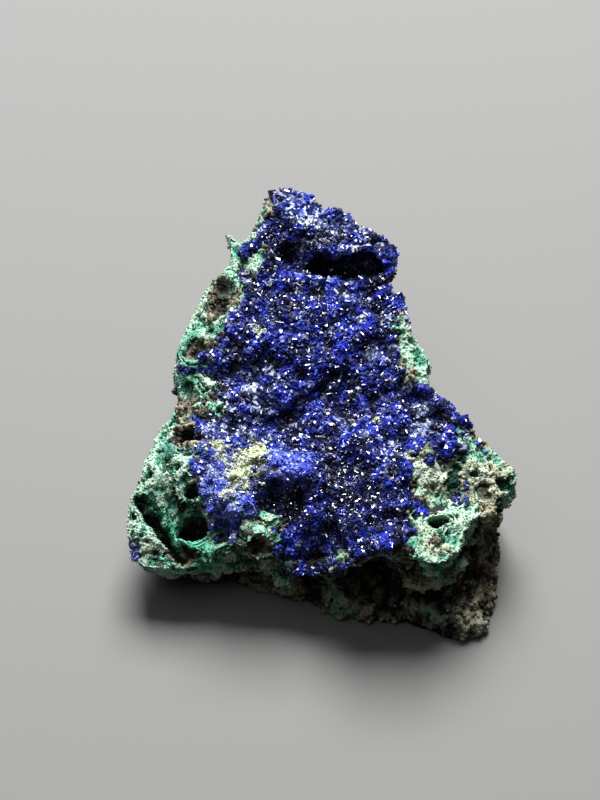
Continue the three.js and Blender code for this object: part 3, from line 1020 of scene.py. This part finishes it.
def grain(shift, fineness):
    """A small uneven grain, unlike those at another shift."""
    shape = bmesh.new()
    bmesh.ops.create_icosphere(shape, subdivisions=fineness, radius=1.0)
    for vert in shape.verts:
        vert.co *= 1 + 0.3 * noise.noise(vert.co * 1.7 + Vector((shift, 0, 0)))
    return template(shape)


def scattered(sheet, spacing, weight, rng):
    """Spots about spacing apart, fewer where the weight is low: places, facings and nearest points."""
    triangles = np.concatenate([sheet.faces[:, [0, 1, 2]], sheet.faces[:, [0, 2, 3]]])
    corners = sheet.points[triangles]
    across = np.cross(corners[:, 1] - corners[:, 0], corners[:, 2] - corners[:, 0])
    area = np.linalg.norm(across, axis=1) / 2
    chance = area * weight[triangles].mean(1)
    count = int(TRIES * chance.sum() / spacing**2)
    picked = rng.choice(len(triangles), count, p=chance / chance.sum())
    share = rng.random((count, 2))
    share = np.where(share.sum(1, keepdims=True) > 1, 1 - share, share)
    shares = np.column_stack([1 - share.sum(1), share])[:, :, None]
    spots = (sheet.points[triangles[picked]] * shares).sum(1)
    facing = (sheet.normals[triangles[picked]] * shares).sum(1)
    cell = np.floor(spots / (spacing * SPOT_ROOM)).astype(np.int64)
    _, first = np.unique(cell, axis=0, return_index=True)
    return spots[first], facing[first], triangles[picked][first, 0]


def turned_about(facing, lean, rng):
    """Axes for each copy: its third axis leans off the way the sheet faces by a random amount."""
    upright = facing + rng.normal(0, lean, facing.shape)
    upright /= np.linalg.norm(upright, axis=1, keepdims=True)
    side = np.cross(upright, rng.normal(size=facing.shape))
    side /= np.linalg.norm(side, axis=1, keepdims=True)
    return np.stack([side, np.cross(upright, side), upright], 2)


def planted(templates, spots, axes, sizes, rng):
    """Copies of the templates, one at each spot, as one mesh, and which spot each point belongs to."""
    chosen = rng.integers(0, len(templates), len(spots))
    all_points = []
    all_faces = []
    all_owners = []
    offset = 0
    for index, (points, faces) in enumerate(templates):
        here = np.flatnonzero(chosen == index)
        placed = np.einsum("nij,nkj->nki", axes[here], points[None] * sizes[here][:, None, :])
        placed += spots[here][:, None, :]
        starts = offset + np.arange(len(here)) * len(points)
        all_points.append(placed.reshape(-1, 3))
        all_faces.append((faces[None] + starts[:, None, None]).reshape(-1, 3))
        all_owners.append(np.repeat(here, len(points)))
        offset += len(here) * len(points)
    return np.concatenate(all_points), np.concatenate(all_faces), np.concatenate(all_owners)


def crystal_size(points):
    """The usual crystal height at each point."""
    share = np.ones(len(points))
    for _, x, y, radius, change in SIZE_PATCHES:
        share *= 1 + change * patch(points, x, y, radius)
    return FIELD_SIZE * share


def make_crystals(bed, finish):
    """Azurite crystals all over the druse's bed, in pieces by their size and by the half they grow on."""
    rng = np.random.default_rng(SEED)
    plain = [
        crystal(0.9, 0.5, 0.8, 0.25),
        crystal(0.7, 0.6, 0.7, -0.4),
        crystal(1.1, 0.35, 0.85, 0.3),
        crystal(0.6, 0.5, 0.55, 0.1),
    ]
    sharp = [
        crystal(0.9, 0.5, 0.8, 0.25, 0.12),
        crystal(1.1, 0.35, 0.8, -0.3, 0.1),
    ]
    wanted = np.log(crystal_size(bed.points)) + lumps(bed.points, 2.2, 2, shift=50.0) * 0.3
    heights = np.log([height for _, height in GRADES])
    grade_of = np.abs(wanted[:, None] - heights[None]).argmin(1)
    cover = ramp(bed.carried["within"], -0.15, 0.3) * (bed.points[:, 2] > LEAST_HEIGHT)
    upper = bed.points[:, 1] > HALF_LINE
    for index, (name, height) in enumerate(GRADES):
        for half, kept in (("upper", upper), ("lower", ~upper)):
            weight = cover * (grade_of == index) * kept
            if weight.sum() < LEAST_COVER:
                continue
            spots, facing, root = scattered(bed, height, weight, rng)
            axes = turned_about(facing, CRYSTAL_LEAN, rng)
            count = len(spots)
            stature = height * rng.uniform(*CRYSTAL_SPREAD, count)
            girth = height * rng.uniform(*CRYSTAL_SPREAD, (count, 2))
            sizes = np.column_stack([girth, stature])
            placed, walls, owner = planted(sharp if name == "large" else plain, spots, axes, sizes, rng)
            at = {key: values[root] for key, values in bed.carried.items()}
            # A crystal's blue is partly random and partly painted light and shade: lighter on heights,
            # darker in recesses and shady patches, which also lose frost and sheen.
            tint = rng.random(count) * 0.5 + 0.45 * at["rise"] + 0.55 * lumps(spots, 1.3) - at["recess_shade"]
            tint -= 0.5 * at["shade"]
            dust = at["dust"] + 0.5 * rng.random(count) - 0.8 * at["recess_shade"] - at["shade"]
            cream = at["cream"] + 0.35 * (rng.random(count) - 0.5)
            carried = {"tint": tint, "dust": dust, "powder": at["powder"], "cream": cream}
            carried = {key: values[owner] for key, values in carried.items()}
            title = f"azurite_crystals_{name}_{half}"
            make_piece(title, placed, walls, finish, carried, smooth=False)


def make_grains(name, sheets, size, finish, keys, cover_of, fineness=1):
    """Small grains scattered over sheets, each a little lighter or darker than what it lies on."""
    rng = np.random.default_rng(SEED + len(name))
    spacing, radius = size
    templates = [grain(index * GRAIN_SHIFT, fineness) for index in range(GRAIN_SHAPES)]
    points = []
    faces = []
    carried = {key: [] for key in keys}
    offset = 0
    for sheet in sheets:
        spots, facing, root = scattered(sheet, spacing, cover_of(sheet), rng)
        axes = turned_about(facing, 1.0, rng)
        sizes = radius * rng.uniform(*GRAIN_SPREAD, (len(spots), 1))
        sizes = sizes * rng.uniform(*GRAIN_STRETCH, (len(spots), 3))
        placed, walls, owner = planted(templates, spots, axes, sizes, rng)
        points.append(placed)
        faces.append(walls + offset)
        offset += len(placed)
        for key in keys:
            drift = rng.normal(0, GRAIN_DRIFT, len(spots))
            carried[key].append((sheet.carried[key][root] + drift)[owner])
    joined = {key: np.concatenate(values) for key, values in carried.items()}
    smooth = fineness > 1
    make_piece(name, np.concatenate(points), np.concatenate(faces), finish, joined, smooth)


def whole_growth(sheet):
    """Grains lie all over a growth, but not at its very edge or foot."""
    return ramp(sheet.carried["within"], 0.0, 0.4) * (sheet.points[:, 2] > 0.5)


def powdery_part(sheet):
    """Grains lie where the azurite is powdery or creamy."""
    share = np.maximum(sheet.carried["powder"], sheet.carried["cream"])
    return whole_growth(sheet) * ramp(share, 0.25, 0.7)


# ---------------- stage

CAMERA_AIM = (-2.2, 0.0, 10.2)
CAMERA_RISE = 58.0
CAMERA_DISTANCE = 260.0
CAMERA_LENS = 117.0
SENSOR_WIDTH = 36
FLOOR_RADIUS = 2.0
STUDIO_COLOUR = (0.8, 0.82, 0.85, 1)
STUDIO_LIGHT = 0.04
LAMP_AIM = (0, 0, 0.01)


def add_camera():
    """A camera that looks down on the crystal face from the front."""
    rise = math.radians(CAMERA_RISE)
    back = Vector((0, -math.cos(rise), math.sin(rise)))
    side = Vector((1, 0, 0))
    data = bpy.data.cameras.new("camera")
    data.lens = CAMERA_LENS
    data.sensor_width = SENSOR_WIDTH
    data.clip_start = 0.01
    camera = added("camera", data)
    place = (Vector(CAMERA_AIM) + back * CAMERA_DISTANCE) * MM
    turn = Matrix((side, back.cross(side), back)).transposed().to_4x4()
    camera.matrix_world = Matrix.Translation(place) @ turn
    bpy.context.scene.camera = camera


def add_lamp(name, place, size, power):
    """A square soft lamp, aimed at the stone."""
    data = bpy.data.lights.new(name, "AREA")
    data.size = size
    data.energy = power
    lamp = added(name, data)
    lamp.location = place
    lamp.rotation_euler = (Vector(LAMP_AIM) - Vector(place)).to_track_quat("-Z", "Y").to_euler()


def add_stage():
    """The floor, the soft light and the way the picture is toned."""
    shape = bmesh.new()
    bmesh.ops.create_circle(shape, cap_ends=True, segments=64, radius=FLOOR_RADIUS)
    mesh = bpy.data.meshes.new("floor")
    shape.to_mesh(mesh)
    shape.free()
    mesh.materials.append(floor_finish())
    floor = added("floor", mesh)
    world = bpy.data.worlds.new("studio")
    world.use_nodes = True
    light = world.node_tree.nodes["Background"].inputs
    light["Color"].default_value = STUDIO_COLOUR
    light["Strength"].default_value = STUDIO_LIGHT
    bpy.context.scene.world = world
    add_lamp("key", (0.0, 0.36, 0.45), size=0.32, power=9.8)
    add_lamp("fill", (-0.2, 0.0, 0.6), size=0.5, power=0.8)
    toning = bpy.context.scene.view_settings
    toning.view_transform = "Standard"
    toning.look = "Medium High Contrast"


# ---------------- the specimen

def make_specimen():
    """Every piece of the stone, from the rock up."""
    whole, lump = stone_lump()
    ground = tree_of(whole)
    brown = rock_finish()
    rock = make_rock(Skin(ground, lump, ROCK_VOXEL), brown)
    keys = ("rise", "rust", "stain", "recess_shade")
    make_grains("rock_grit", [rock], ROCK_GRIT, brown, keys, whole_growth)
    skin = Skin(ground, lump, BED_VOXEL)
    blue = bed_finish()
    bed = sheet_piece("azurite_bed", skin, druse_relief, blue, DRUSE, druse_extras)
    make_crystals(bed, azurite_finish())
    keys = ("rise", "powder", "dust", "cream", "recess_shade")
    make_grains("azurite_knobs", [bed], POWDER_KNOB, blue, keys, powdery_part, fineness=2)
    green = malachite_finish()
    skin = Skin(ground, lump, CRUST_VOXEL)
    crusts = []
    for name in GREENS:
        title = name.replace("malachite", "green")
        crusts.append(sheet_piece(title, skin, green_relief, green, name, green_extras))
    keys = ("rise", "cream", "earth", "rust", "blue", "chalk", "vivid", "recess_shade")
    make_grains("green_grains_left", crusts[:1], GREEN_GRAIN, green, keys, whole_growth)
    make_grains("green_grains_right", crusts[1:], GREEN_GRAIN, green, keys, whole_growth)


add_stage()
add_camera()
make_specimen()
